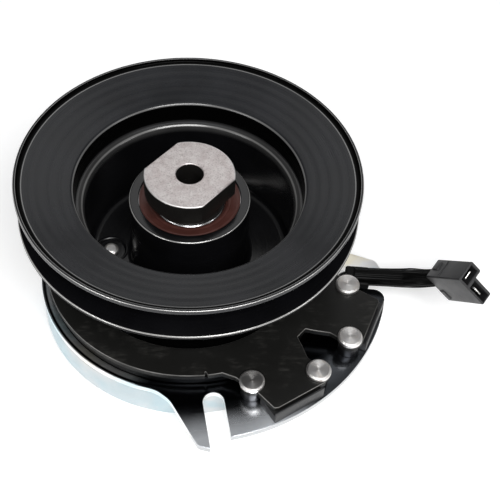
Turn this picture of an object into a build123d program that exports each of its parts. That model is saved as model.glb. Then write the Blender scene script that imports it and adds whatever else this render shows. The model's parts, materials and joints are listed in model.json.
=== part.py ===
from build123d import *
import math
import os

os.makedirs("parts", exist_ok=True)

# Electromagnetic clutch and brake for a mower engine's crankshaft. Lengths are millimetres.
# The origin is on the rotation axis, in the plane of the field's flat bottom. +Z points to the pulley.
# Angles are degrees counter-clockwise from +X, seen from the pulley's end.

# ---- driving dimensions -------------------------------------------------------------------

RUN = 0.05                    # radial clearance of a shank in its hole
OVER = 1.0                    # how far a cutter runs past the face that it opens

# Crankshaft end
CRANK_R = 12.7                # 1 in crankshaft
BORE_DEPTH = 46.0
KEY_WIDTH = 6.35
KEY_R = 15.5                  # radius at the keyway's bottom
BOLT_HOLE_R = 6.08            # 7/16 in bolt with clearance

# Field: the fixed steel cup with the coil in it
FIELD_R = 71.0
FIELD_WALL_R = 66.5
FIELD_TOP = 17.2
FIELD_FLOOR = 4.0
FIELD_CORNER = 3.5
POLE_IN_R = 31.0
POLE_OUT_R = 36.0
POLE_TOP = 16.2
FIELD_LIP_R = 29.0            # lip under the field bearing
SNAP_THICK = 0.9

# Mounting plate on the field's rim
PLATE_TOP = 20.4
PLATE_ARC_R = 95.0
SLOT_WIDTH = 9.5
SLOT_ROOT_R = 76.5
SLOT_ANGLE = -82.4            # anti-rotation slot
LEAD_SLOT_ANGLE = -6.0        # slot that holds the lead's grommet

# Field bearing, 35 x 62 x 14
FB_BORE_R, FB_OUT_R, FB_Z0, FB_Z1 = 17.5, 31.0, 1.0, 15.0
FB_PITCH_R, FB_BALL_R, FB_BALLS = 24.25, 3.95, 11

RACE_CHAMFER = 0.5

# Rotor
ROTOR_BOTTOM = 16.8
ROTOR_FACE = 20.78
ROTOR_R = 65.0
LINING_IN_R, LINING_OUT_R, LINING_Z0 = 49.5, 56.5, 19.2
HUB_SHOULDER_R = 19.5
HUB_R = 17.45
NOSE_Z0 = 48.8                # the pulley bearing's seat starts here

# Armature and its leaf springs
AIR_GAP = 0.4
ARM_IN_R, ARM_OUT_R, ARM_THICK = 30.0, 66.5, 4.2
ARM_BOTTOM = ROTOR_FACE + AIR_GAP
ARM_TOP = ARM_BOTTOM + ARM_THICK
LEAF_THICK, LEAF_WIDTH, LEAF_SWEEP = 0.8, 11.0, 52.0
LEAF_WEB_R, LEAF_ARM_R = 37.2, 46.0
LEAF_ANGLES = (60.0, 180.0, 300.0)
LEAF_SHANK_R = 2.55

# Brake plate, its rivets and magnets. The plate is symmetric about the direction BRAKE_ANGLE.
BRAKE_Z0, BRAKE_Z1 = 25.4, 28.6
BRAKE_IN_R, BRAKE_OUT_R = 53.0, 67.7
BRAKE_ANGLE = -41.75
BRAKE_RIVETS = ((67.6, 35.5), (86.2, 11.8))      # along and across the symmetry direction
RIVET_HEAD_R, RIVET_HEAD_TOP, RIVET_SHANK_R = 5.6, 30.9, 2.95
SPACER_R = 4.75
MAGNET_PLACE, MAGNET_TURN = (83.5, 26.6), 17.5    # housing's centre, and its turn from the symmetry direction
MAGNET_LENGTH, MAGNET_DEPTH = 25.9, 12.0
MAGNET_LIP, MAGNET_LIP_TOP = 0.85, 27.6           # wall that stands up in front of the lobe's edge

# Pulley: belt groove between two pressed flanges on a deep cup
PULLEY_R = 76.2               # 6 in pulley
PULLEY_TOP = 87.4
GROOVE_R = 53.8
NECK_R = 50.8
LEDGE_Z = 69.1
CUP_R = 46.9
CUP_WALL = 3.0
WEB_Z0, WEB_Z1 = 31.0, 34.0
SLEEVE_OUT_R = 27.2
SLEEVE_TOP = 70.6
SLEEVE_LIP_R = 22.9           # the sleeve's rolled lip covers the bearing's outer race
SLEEVE_LIP = 1.2

# Pulley bearing, double row, 25 x 50 x 20.6
PB_BORE_R, PB_OUT_R, PB_Z0, PB_Z1 = 12.5, 25.0, NOSE_Z0, 69.4
PB_INNER_TOP = 68.6
PB_PITCH_R, PB_BALL_R, PB_BALLS = 19.4, 3.7, 13
PB_ROWS = (54.2, 63.0)

# End cap: a disc with two flats on a round boss
CAP_R, CAP_FLAT, CAP_Z0, CAP_Z1 = 20.15, 17.0, 75.6, 85.55
CAP_BOSS_R = 15.0

# Lead: a short stiff sleeve over two wires, with a two-way connector at its end
WIRE_Z = 11.5
LEAD_R = 4.5
LEAD_START_R, LEAD_Z = 79.5, 23.4
LEAD_ROUTE = ((100.7, -10.3, 24.0), (106.3, -12.2, 26.4), (112.0, -14.9, 29.4), (118.6, -15.8, 31.8))
GROMMET_R0, GROMMET_R1, GROMMET_TOP = 75.2, 86.6, 24.6
CONNECTOR_LENGTH = 25.4
CONNECTOR_WIDTH, CONNECTOR_HEIGHT, CONNECTOR_ARM = 10.9, 18.1, 6.8
CONNECTOR_AZIMUTH, CONNECTOR_RISE, CONNECTOR_ROLL = -58.4, 43.6, 25.5
BLADE_WIDTH, BLADE_THICK, BLADE_LENGTH = 6.35, 0.8, 18.4


# ---- helpers ------------------------------------------------------------------------------

def at(radius, angle):
    """The point at a radius and an angle in the plan view."""
    return radius * math.cos(math.radians(angle)), radius * math.sin(math.radians(angle))


def turned(*outline, sweep=360.0):
    """The solid that a closed (radius, height) outline sweeps about the rotation axis."""
    return revolve(Plane.XZ * make_face(Polyline(*outline, close=True)), Axis.Z, sweep)


def ring(r_in, r_out, z0, z1):
    return turned((r_in, z0), (r_out, z0), (r_out, z1), (r_in, z1))


def rod(radius, z0, z1, place=(0.0, 0.0)):
    base = (Align.CENTER, Align.CENTER, Align.MIN)
    return Pos(place[0], place[1], z0) * Cylinder(radius, z1 - z0, align=base)


def circles(shape, radius, z):
    """The circular edges of that radius at that height."""
    found = shape.edges().filter_by(GeomType.CIRCLE)
    return found.filter_by(lambda e: abs(e.radius - radius) < 0.01 and abs(e.arc_center.Z - z) < 0.01)


def arc_slot(r_in, r_out, start, sweep, z0, z1):
    """A cutter for one curved slot."""
    outline = ((r_in, z0), (r_out, z0), (r_out, z1), (r_in, z1))
    return Rot(0, 0, start) * turned(*outline, sweep=sweep)


def group(solids):
    return Compound(children=list(solids))


def save(name, shape):
    export_step(shape, "parts/" + name + ".step")


# ---- bearings -----------------------------------------------------------------------------

def ball_track(pitch_r, ball_r, z):
    return Pos(0, 0, z) * Torus(pitch_r, ball_r + RUN)


def ball_row(pitch_r, ball_r, count, z):
    spots = [at(pitch_r, 360.0 * (i + 0.5) / count) for i in range(count)]
    return [Pos(x, y, z) * Sphere(ball_r) for x, y in spots]


def race(r_in, r_out, z0, z1, tracks, corners):
    """One bearing ring with its ball tracks, chamfered on the listed (radius, height) corners."""
    body = ring(r_in, r_out, z0, z1)
    for radius, z in corners:
        body = chamfer(circles(body, radius, z), RACE_CHAMFER)
    for track in tracks:
        body -= track
    return body


def cage(r_in, r_out, rows, half_height, count, ball_r):
    """One retainer with a round window for every ball."""
    body = ring(r_in, r_out, min(rows) - half_height, max(rows) + half_height)
    window = Pos((r_in + r_out) / 2, 0, 0) * Rot(0, 90, 0) * Cylinder(ball_r + 2 * RUN, 3 * (r_out - r_in))
    for z in rows:
        for i in range(count):
            body -= Rot(0, 0, 360.0 * (i + 0.5) / count) * (Pos(0, 0, z) * window)
    return body


def make_field_bearing():
    middle = (FB_Z0 + FB_Z1) / 2
    track = ball_track(FB_PITCH_R, FB_BALL_R, middle)
    balls = ball_row(FB_PITCH_R, FB_BALL_R, FB_BALLS, middle)
    outer_in_r, inner_out_r = 27.4, 21.1
    cage_in_r, cage_out_r, cage_half = 22.9, 25.6, 4.8
    seal_thick, seal_inset, seal_gap = 0.7, 0.5, 0.2
    outer = race(outer_in_r, FB_OUT_R, FB_Z0, FB_Z1, [track], [(FB_OUT_R, FB_Z0), (FB_OUT_R, FB_Z1)])
    inner = race(FB_BORE_R, inner_out_r, FB_Z0, FB_Z1, [track], [(FB_BORE_R, FB_Z0), (FB_BORE_R, FB_Z1)])
    seal_low = ring(inner_out_r + seal_gap, outer_in_r, FB_Z0 + seal_inset, FB_Z0 + seal_inset + seal_thick)
    seal_high = ring(inner_out_r + seal_gap, outer_in_r, FB_Z1 - seal_inset - seal_thick, FB_Z1 - seal_inset)
    save("field_bearing_outer_race", outer)
    save("field_bearing_inner_race", inner)
    save("field_bearing_balls", group(balls))
    save("field_bearing_cage", cage(cage_in_r, cage_out_r, [middle], cage_half, FB_BALLS, FB_BALL_R))
    save("field_bearing_seals", group([seal_low, seal_high]))


def make_pulley_bearing():
    tracks = [ball_track(PB_PITCH_R, PB_BALL_R, z) for z in PB_ROWS]
    balls = [ball for z in PB_ROWS for ball in ball_row(PB_PITCH_R, PB_BALL_R, PB_BALLS, z)]
    outer_in_r, inner_out_r = 22.75, 16.0
    cage_in_r, cage_out_r, cage_half = 18.2, 20.9, 2.5
    seal_z0, seal_z1, seal_gap = PB_Z0 + 0.4, PB_Z0 + 1.1, 0.15
    outer = race(outer_in_r, PB_OUT_R, PB_Z0, PB_Z1, tracks, [(PB_OUT_R, PB_Z0)])
    inner = race(PB_BORE_R, inner_out_r, PB_Z0, PB_INNER_TOP, tracks, [(inner_out_r, PB_INNER_TOP)])
    lip_r = inner_out_r + seal_gap
    seal_low = ring(lip_r, outer_in_r, seal_z0, seal_z1)
    # the upper seal is dished down from the outer race to the lower inner race
    seal_high = turned((lip_r, 67.9), (lip_r, 68.5), (17.6, 68.9), (19.6, 69.4), (22.0, 69.9),
                       (outer_in_r, 69.9), (outer_in_r, 68.7), (19.8, 68.6), (17.8, 68.0))
    save("pulley_bearing_outer_race", outer)
    save("pulley_bearing_inner_race", inner)
    save("pulley_bearing_balls", group(balls))
    save("pulley_bearing_cage", cage(cage_in_r, cage_out_r, PB_ROWS, cage_half, PB_BALLS, PB_BALL_R))
    save("pulley_bearing_seals", group([seal_low, seal_high]))


# ---- field --------------------------------------------------------------------------------

def make_field_shell():
    groove_in_r, groove_r, wire_hole_r = POLE_IN_R - 0.5, 32.0, 3.0
    shell = turned((FIELD_LIP_R, 0), (FIELD_R, 0), (FIELD_R, FIELD_TOP), (FIELD_WALL_R, FIELD_TOP),
                   (FIELD_WALL_R, FIELD_FLOOR), (POLE_OUT_R, FIELD_FLOOR), (POLE_OUT_R, POLE_TOP),
                   (POLE_IN_R, POLE_TOP), (POLE_IN_R, FB_Z0), (FIELD_LIP_R, FB_Z0))
    shell = fillet(circles(shell, FIELD_R, 0), FIELD_CORNER)
    shell -= ring(groove_in_r, groove_r, FB_Z1, FB_Z1 + SNAP_THICK)
    wire_hole = Rot(0, 90, 0) * Cylinder(wire_hole_r, 2 * (FIELD_R - FIELD_WALL_R))
    shell -= Rot(0, 0, LEAD_SLOT_ANGLE) * Pos((FIELD_R + FIELD_WALL_R) / 2, 0, WIRE_Z) * wire_hole
    save("field_shell", shell)

    snap_in_r, opening = 28.2, 7.0
    snap = ring(snap_in_r, groove_r - RUN, FB_Z1, FB_Z1 + SNAP_THICK)
    snap -= Pos(0, POLE_IN_R, FB_Z1) * Box(opening, 2 * (groove_r - snap_in_r), 4 * SNAP_THICK)
    save("field_snap_ring", snap)


def make_coil():
    bobbin_in_r, bobbin_out_r = POLE_OUT_R + 0.2, FIELD_WALL_R - 0.2
    wall, top, winding_top, potting_top = 1.4, 13.4, 12.4, 14.9
    bobbin = turned((bobbin_in_r, FIELD_FLOOR), (bobbin_out_r, FIELD_FLOOR), (bobbin_out_r, top),
                    (bobbin_out_r - wall, top), (bobbin_out_r - wall, FIELD_FLOOR + wall),
                    (bobbin_in_r + wall, FIELD_FLOOR + wall), (bobbin_in_r + wall, top), (bobbin_in_r, top))
    save("coil_bobbin", bobbin)
    winding_z0 = FIELD_FLOOR + wall
    save("coil_winding", ring(bobbin_in_r + wall + RUN, bobbin_out_r - wall - RUN, winding_z0, winding_top))
    save("coil_potting", ring(bobbin_in_r, bobbin_out_r, top, potting_top))


def slot_cutter(angle):
    """An open slot that runs outwards from its round root."""
    length = 40.0
    opening = SlotCenterToCenter(length, SLOT_WIDTH)
    depth = PLATE_TOP - FIELD_TOP + 2 * OVER
    cutter = Pos(SLOT_ROOT_R + length / 2, 0, FIELD_TOP - OVER) * extrude(opening, depth)
    return Rot(0, 0, angle) * cutter


def brake_point(along, across):
    """A plan point from distances along and across the brake plate's symmetry direction."""
    turn = math.radians(BRAKE_ANGLE)
    x = along * math.cos(turn) - across * math.sin(turn)
    return x, along * math.sin(turn) + across * math.cos(turn)


def brake_spots():
    return [brake_point(along, side * across) for side in (-1, 1) for along, across in BRAKE_RIVETS]


def make_mounting_plate():
    """A ring on the cup's rim with one broad sector between two horns."""
    waist, front_tip = (-9.2, -74.6), (3.2, -97.6)
    rear_tip, rear_bend = (93.6, -2.6), (90.9, 3.6)
    waist_round, tip_round = 6.0, 2.5
    arc_start, arc_mid, arc_end = at(PLATE_ARC_R, -79), at(PLATE_ARC_R, -43), at(PLATE_ARC_R, -8.5)
    edge = Polyline((-16.5, -68.0), waist, (-0.6, -90.9), front_tip, (9.6, -99.4), arc_start)
    arc = ThreePointArc(arc_start, arc_mid, arc_end)
    rest = Polyline(arc_end, (94.0, -8.0), rear_tip, rear_bend, (79.9, 8.1), (74.3, 10.9), (68.0, 17.0),
                    (40.0, 0.0), (0.0, -40.0), (-16.5, -68.0))
    sector = make_face(edge + arc + rest)
    sector = fillet(sector.vertices().sort_by_distance(waist)[0], waist_round)
    for corner in (front_tip, rear_tip, rear_bend):
        sector = fillet(sector.vertices().sort_by_distance(corner)[0], tip_round)
    plate = ring(FIELD_WALL_R, FIELD_R, FIELD_TOP, PLATE_TOP)
    plate += Pos(0, 0, FIELD_TOP) * extrude(sector, PLATE_TOP - FIELD_TOP)
    plate -= rod(FIELD_WALL_R, FIELD_TOP - OVER, PLATE_TOP + OVER)
    for angle in (SLOT_ANGLE, LEAD_SLOT_ANGLE):
        plate -= slot_cutter(angle)
    for spot in brake_spots():
        plate -= rod(RIVET_SHANK_R + RUN, FIELD_TOP - OVER, PLATE_TOP + OVER, spot)
    save("mounting_plate", plate)


# ---- rotor --------------------------------------------------------------------------------

def make_rotor():
    hub = turned((CRANK_R, 0), (FB_BORE_R, 0), (FB_BORE_R, FB_Z1), (HUB_SHOULDER_R, FB_Z1),
                 (HUB_SHOULDER_R, ROTOR_BOTTOM), (HUB_R, ROTOR_BOTTOM), (HUB_R, NOSE_Z0),
                 (PB_BORE_R, NOSE_Z0), (PB_BORE_R, PB_INNER_TOP), (BOLT_HOLE_R, PB_INNER_TOP),
                 (BOLT_HOLE_R, BORE_DEPTH), (CRANK_R, BORE_DEPTH))
    hub -= Pos(KEY_R / 2, 0, BORE_DEPTH / 2) * Box(KEY_R, KEY_WIDTH, BORE_DEPTH)
    save("rotor_hub", hub)

    disc = turned((HUB_R, ROTOR_BOTTOM), (ROTOR_R, ROTOR_BOTTOM), (ROTOR_R, ROTOR_FACE),
                  (LINING_OUT_R, ROTOR_FACE), (LINING_OUT_R, LINING_Z0), (LINING_IN_R, LINING_Z0),
                  (LINING_IN_R, ROTOR_FACE), (HUB_R, ROTOR_FACE))
    slots, sweep, slot_rings = 5, 58.0, ((43.0, 45.5), (58.5, 60.5))
    for r_in, r_out in slot_rings:
        for i in range(slots):
            disc -= arc_slot(r_in, r_out, 360.0 * i / slots, sweep, ROTOR_BOTTOM - OVER, ROTOR_FACE + OVER)
    save("rotor_disc", disc)
    save("friction_lining", ring(LINING_IN_R + RUN, LINING_OUT_R - RUN, LINING_Z0, ROTOR_FACE))


def make_end_cap():
    edge_chamfer, hole_chamfer = 0.6, 0.7
    between_flats = Box(2 * CAP_FLAT, 3 * CAP_R, 4 * (CAP_Z1 - CAP_Z0))
    cap = rod(CAP_R, CAP_Z0, CAP_Z1)
    cap = cap & (Pos(0, 0, CAP_Z1) * Rot(0, 0, BRAKE_ANGLE) * between_flats)
    cap = chamfer(cap.edges().filter_by(lambda e: abs(e.center().Z - CAP_Z1) < 0.01), edge_chamfer)
    cap += rod(CAP_BOSS_R, PB_INNER_TOP, CAP_Z0)
    cap -= rod(BOLT_HOLE_R, PB_INNER_TOP - OVER, CAP_Z1 + OVER)
    cap = chamfer(circles(cap, BOLT_HOLE_R, CAP_Z1), hole_chamfer)
    save("end_cap", cap)


# ---- armature -----------------------------------------------------------------------------

def leaf_ends(angle):
    return at(LEAF_WEB_R, angle), at(LEAF_ARM_R, angle + LEAF_SWEEP)


def make_armature():
    body = ring(ARM_IN_R, ARM_OUT_R, ARM_BOTTOM, ARM_TOP)
    clear_r = 6.5
    flux_slots, flux_in_r, flux_out_r, flux_start, flux_sweep = 4, 53.0, 55.0, 15.0, 60.0
    shank_z0, head_r, head_height = ARM_BOTTOM + 0.2, 4.2, 1.7
    leaves, rivets = [], []
    leaf_top = ARM_TOP + LEAF_THICK
    hole_r = LEAF_SHANK_R + RUN
    for angle in LEAF_ANGLES:
        web_end, arm_end = leaf_ends(angle)
        body -= rod(clear_r, ARM_BOTTOM - OVER, ARM_TOP + OVER, web_end)
        body -= rod(hole_r, ARM_BOTTOM - OVER, ARM_TOP + OVER, arm_end)
        dx, dy = arm_end[0] - web_end[0], arm_end[1] - web_end[1]
        middle = ((web_end[0] + arm_end[0]) / 2, (web_end[1] + arm_end[1]) / 2)
        strip = extrude(SlotCenterToCenter(math.hypot(dx, dy), LEAF_WIDTH), LEAF_THICK)
        leaf = Pos(*middle, ARM_TOP) * Rot(0, 0, math.degrees(math.atan2(dy, dx))) * strip
        for end in (web_end, arm_end):
            leaf -= rod(hole_r, ARM_TOP - OVER, leaf_top + OVER, end)
        leaves.append(leaf)
        rivet = rod(LEAF_SHANK_R, shank_z0, leaf_top, arm_end)
        rivet += rod(head_r, leaf_top, leaf_top + head_height, arm_end)
        rivets.append(rivet)
    for i in range(flux_slots):
        start = 360.0 * i / flux_slots + flux_start
        body -= arc_slot(flux_in_r, flux_out_r, start, flux_sweep, ARM_BOTTOM - OVER, ARM_TOP + OVER)
    save("armature", body)
    save("leaf_springs", group(leaves))
    save("armature_rivets", group(rivets))


# ---- brake --------------------------------------------------------------------------------

def make_brake_plate():
    corner, bump_r = 1.2, SPACER_R + 0.45
    lobe = ((54.0, 1.0), (64.6, 1.4), (71.5, 4.9), (77.6, 8.6), (90.9, 10.2), (91.7, 14.1), (84.3, 37.6),
            (83.0, 39.0), (74.8, 37.5), (60.5, 38.0), (52.0, 41.0))
    plate = ring(BRAKE_IN_R, BRAKE_OUT_R, BRAKE_Z0, BRAKE_Z1)
    for side in (-1, 1):
        outline = make_face(Polyline(*[brake_point(s, side * t) for s, t in lobe], close=True))
        tips = [brake_point(s, side * t) for s, t in lobe[4:8]]
        near = lambda v: any(math.hypot(v.X - x, v.Y - y) < 0.01 for x, y in tips)
        outline = fillet(outline.vertices().filter_by(near), corner)
        plate += Pos(0, 0, BRAKE_Z0) * extrude(outline, BRAKE_Z1 - BRAKE_Z0)
    for spot in brake_spots():
        plate += rod(bump_r, BRAKE_Z0, BRAKE_Z1, spot)
    plate -= rod(BRAKE_IN_R, BRAKE_Z0 - OVER, BRAKE_Z1 + OVER)
    for spot in brake_spots():
        plate -= rod(RIVET_SHANK_R + RUN, BRAKE_Z0 - OVER, BRAKE_Z1 + OVER, spot)
    save("brake_plate", plate)


def make_brake_rivets():
    rivets, spacers = [], []
    tail_r, tail_z, head_round = 4.4, FIELD_TOP - 1.6, 0.5
    for spot in brake_spots():
        head = rod(RIVET_HEAD_R, BRAKE_Z1, RIVET_HEAD_TOP, spot)
        head = fillet(circles(head, RIVET_HEAD_R, RIVET_HEAD_TOP), head_round)
        tail = rod(tail_r, tail_z, FIELD_TOP, spot)
        rivets.append(head + rod(RIVET_SHANK_R, FIELD_TOP, BRAKE_Z1, spot) + tail)
        spacer = rod(SPACER_R, PLATE_TOP, BRAKE_Z0, spot)
        spacers.append(spacer - rod(RIVET_SHANK_R + RUN, PLATE_TOP, BRAKE_Z0, spot))
    save("brake_rivets", group(rivets))
    save("brake_spacers", group(spacers))


def make_brake_magnets():
    """Two permanent magnets in housings, one under the front edge of each lobe."""
    housings, magnets = [], []
    z0, z1, wall, play, magnet_gap = PLATE_TOP, BRAKE_Z0 - 0.15, 1.6, 0.1, 0.6
    low = (Align.CENTER, Align.CENTER, Align.MIN)
    pocket_depth, pocket_length = MAGNET_DEPTH - 2 * wall, MAGNET_LENGTH - 2 * wall
    pocket_height = z1 - z0 - wall / 2
    along, across = BRAKE_RIVETS[1]
    for side in (-1, 1):
        place = Pos(*brake_point(MAGNET_PLACE[0], side * MAGNET_PLACE[1]), z0)
        place = place * Rot(0, 0, BRAKE_ANGLE + side * MAGNET_TURN)
        block = Box(MAGNET_DEPTH, MAGNET_LENGTH, z1 - z0, align=low)
        lip = Box(MAGNET_LIP, MAGNET_LENGTH, MAGNET_LIP_TOP - z0, align=low)
        block += Pos((MAGNET_DEPTH - MAGNET_LIP) / 2, 0, 0) * lip
        pocket = Box(pocket_depth, pocket_length, pocket_height, align=low)
        magnet = Box(pocket_depth - 2 * play, pocket_length - 2 * play, pocket_height, align=low)
        # both stop short of the neighbouring rivet's spacer
        rivet = brake_point(along, side * across)
        housings.append(place * (block - pocket) - rod(SPACER_R + RUN, z0 - OVER, z1 + OVER, rivet))
        magnets.append(place * magnet - rod(SPACER_R + magnet_gap, z0 - OVER, z1 + OVER, rivet))
    save("magnet_housings", group(housings))
    save("brake_magnets", group(magnets))


# ---- pulley -------------------------------------------------------------------------------

def make_pulley():
    lip_r, lip_inner_z, lip_z0, lip_round = 74.6, 86.5, 85.2, 0.45
    cone_z, under_z, cone_round = 79.9, 78.6, 0.9
    upper = turned((PULLEY_R, lip_z0), (PULLEY_R, PULLEY_TOP), (lip_r, PULLEY_TOP), (lip_r, lip_inner_z),
                   (NECK_R, cone_z), (NECK_R, LEDGE_Z), (GROOVE_R, LEDGE_Z), (GROOVE_R, under_z))
    upper = fillet(circles(upper, NECK_R, cone_z), cone_round)
    upper = fillet(circles(upper, PULLEY_R, PULLEY_TOP) + circles(upper, lip_r, PULLEY_TOP), lip_round)
    save("upper_flange", upper)

    collar_r, collar_z = 56.2, 66.1
    rim_z0, rim_z1, rim_round = 67.7, 69.9, 0.7
    lower = turned((GROOVE_R, 76.5), (PULLEY_R, rim_z1), (PULLEY_R, rim_z0), (57.6, 73.1), (collar_r, 71.6),
                   (collar_r, collar_z), (GROOVE_R, collar_z))
    lower = fillet(circles(lower, PULLEY_R, rim_z1) + circles(lower, PULLEY_R, rim_z0), rim_round)
    save("lower_flange", lower)

    stop_r, stop_z = 23.4, PB_Z0 - 1.6
    cup_out_r = CUP_R + CUP_WALL
    ledge_round, foot_round, heel_round, sleeve_round = 1.0, 2.0, 3.0, 0.8
    lip_under_z = SLEEVE_TOP - SLEEVE_LIP
    cup = turned((SLEEVE_OUT_R, WEB_Z1), (SLEEVE_OUT_R, SLEEVE_TOP), (SLEEVE_LIP_R, SLEEVE_TOP),
                 (SLEEVE_LIP_R, lip_under_z), (PB_OUT_R, lip_under_z), (PB_OUT_R, PB_Z0),
                 (stop_r, PB_Z0), (stop_r, stop_z), (PB_OUT_R, stop_z), (PB_OUT_R, WEB_Z0),
                 (cup_out_r, WEB_Z0), (cup_out_r, collar_z), (GROOVE_R, collar_z), (GROOVE_R, LEDGE_Z),
                 (CUP_R, LEDGE_Z), (CUP_R, WEB_Z1))
    cup = fillet(circles(cup, CUP_R, LEDGE_Z), ledge_round)
    cup = fillet(circles(cup, CUP_R, WEB_Z1) + circles(cup, SLEEVE_OUT_R, WEB_Z1), foot_round)
    cup = fillet(circles(cup, cup_out_r, WEB_Z0), heel_round)
    cup = fillet(circles(cup, SLEEVE_OUT_R, SLEEVE_TOP), sleeve_round)
    for angle in LEAF_ANGLES:
        cup -= rod(LEAF_SHANK_R + RUN, WEB_Z0 - OVER, WEB_Z1 + OVER, at(LEAF_WEB_R, angle))
    save("pulley_cup", cup)


def make_web_rivets():
    """The rivets that hold the leaf springs to the cup's web, and the sleeves that space them."""
    rivets, sleeves = [], []
    leaf_top, head_top = ARM_TOP + LEAF_THICK, WEB_Z1 + 2.0
    head_r, head_round, tail_r, tail_height, sleeve_r = 4.6, 1.2, 4.4, 1.6, 5.0
    for angle in LEAF_ANGLES:
        spot = at(LEAF_WEB_R, angle)
        head = rod(head_r, WEB_Z1, head_top, spot)
        head = fillet(circles(head, head_r, head_top), head_round)
        tail = rod(tail_r, ARM_TOP - tail_height, ARM_TOP, spot)
        rivets.append(head + rod(LEAF_SHANK_R, ARM_TOP, WEB_Z1, spot) + tail)
        sleeve = rod(sleeve_r, leaf_top, WEB_Z0, spot)
        sleeves.append(sleeve - rod(LEAF_SHANK_R + RUN, leaf_top, WEB_Z0, spot))
    save("web_rivets", group(rivets))
    save("spring_sleeves", group(sleeves))


# ---- lead and connector -------------------------------------------------------------------

def lead_points():
    return [(*at(LEAD_START_R, LEAD_SLOT_ANGLE), LEAD_Z), *LEAD_ROUTE]


def tangent_radii(points, share=0.45):
    """For each inner point, the largest arc that its two runs leave room for."""
    radii = []
    for a, b, c in zip(points, points[1:], points[2:]):
        run_in, run_out = Vector(*b) - Vector(*a), Vector(*c) - Vector(*b)
        half_turn = math.radians(run_in.get_angle(run_out)) / 2
        radii.append(share * min(run_in.length, run_out.length) / math.tan(half_turn))
    return radii


def lead_tube():
    points = lead_points()
    radii = tangent_radii(points)
    path = FilletPolyline(*points, radius=radii)
    start = Plane(origin=path @ 0, z_dir=path % 0)
    tube = sweep(start * Circle(LEAD_R), path=path)
    print("lead length", round(path.length, 1), "arc radii", [round(r, 1) for r in radii])
    print("lead volume", round(tube.volume), "its section times its length",
          round(math.pi * LEAD_R ** 2 * path.length))
    return tube


def make_lead(tube):
    save("lead_sleeve", tube)

    # The grommet stands in its slot, reaches down to the hole in the cup and up around the lead.
    low = (Align.MIN, Align.CENTER, Align.MIN)
    neck_width, shoulder_width, shoulder_round = SLOT_WIDTH - 0.4, 11.2, 1.2
    bottom, foot_height = 8.0, 8.0
    length = GROMMET_R1 - GROMMET_R0
    neck = Pos(GROMMET_R0, 0, bottom) * Box(length, neck_width, GROMMET_TOP - bottom, align=low)
    shoulder_z = PLATE_TOP + RUN
    shoulder = Box(length, shoulder_width, GROMMET_TOP - shoulder_z, align=low)
    shoulder = Pos(GROMMET_R0, 0, shoulder_z) * shoulder
    shoulder = fillet(shoulder.edges().filter_by(Axis.Z), shoulder_round)
    foot = Pos(FIELD_R, 0, bottom) * Box(length / 2, neck_width, foot_height, align=low)
    body = Rot(0, 0, LEAD_SLOT_ANGLE) * (neck + shoulder + foot)
    body -= rod(FIELD_R + 2 * RUN, 0, GROMMET_TOP + OVER)
    save("lead_grommet", body - tube)

    # Two wires run from the coil through the hole in the cup's wall into the grommet.
    spread, wire_r, wire_length = 1.45, 1.3, 4.2
    wire = Pos((FIELD_R + FIELD_WALL_R) / 2, 0, WIRE_Z) * Rot(0, 90, 0) * Cylinder(wire_r, wire_length)
    wires = [Pos(0, side * spread, 0) * wire for side in (-1, 1)]
    save("coil_wires", Rot(0, 0, LEAD_SLOT_ANGLE) * group(wires))


def connector_place():
    """The connector's frame: X out of its mouth, Z up its tall side, origin at its rear centre."""
    turn = Rot(0, 0, CONNECTOR_AZIMUTH) * Rot(0, -CONNECTOR_RISE, 0) * Rot(CONNECTOR_ROLL, 0, 0)
    return Pos(*LEAD_ROUTE[-1]) * turn


def make_connector(tube):
    place = connector_place()
    half = CONNECTOR_LENGTH / 2
    arm, wall, mouth, edge_round = CONNECTOR_ARM, 1.25, 18.0, 0.7
    seat_x, seat_length, play = 8.0, 6.0, 0.1
    blade_start = 5.5
    # cross-section: a flat upper cell across the top and an upright lower cell on the near side
    upper_z = arm / 2
    lower_y = -CONNECTOR_WIDTH / 2 + arm / 2
    lower_height = CONNECTOR_HEIGHT - arm
    upper = Pos(half, 0, upper_z) * Box(CONNECTOR_LENGTH, CONNECTOR_WIDTH, arm)
    lower = Pos(half, lower_y, -lower_height / 2) * Box(CONNECTOR_LENGTH, arm, lower_height)
    body = upper + lower
    body = fillet(body.edges().filter_by(Axis.X), edge_round)
    cells = [((0, upper_z), (CONNECTOR_WIDTH - 2 * wall, arm - 2 * wall)),
             ((lower_y, -lower_height / 2), (arm - 2 * wall, lower_height - wall))]
    blades = [((0, upper_z), (BLADE_WIDTH, BLADE_THICK)),
              ((lower_y, -lower_height / 2), (BLADE_THICK, BLADE_WIDTH))]
    for (y, z), (width, height) in cells:
        body -= Pos(CONNECTOR_LENGTH - (mouth - OVER) / 2, y, z) * Box(mouth + OVER, width, height)
    for (y, z), (width, height) in blades:
        body -= Pos(seat_x, y, z) * Box(seat_length, width + play, height + play)
    save("connector_housing", place * body - tube)

    terminals = [Pos(blade_start + BLADE_LENGTH / 2, y, z) * Box(BLADE_LENGTH, width, height)
                 for (y, z), (width, height) in blades]
    save("connector_terminals", place * group(terminals))


make_field_shell()
make_coil()
make_field_bearing()
make_mounting_plate()
make_rotor()
make_armature()
make_brake_plate()
make_brake_rivets()
make_brake_magnets()
make_pulley()
make_web_rivets()
make_pulley_bearing()
make_end_cap()
lead = lead_tube()
make_lead(lead)
make_connector(lead)
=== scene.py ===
import json
import math

import bmesh
import bpy
from mathutils import Matrix, Vector


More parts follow.
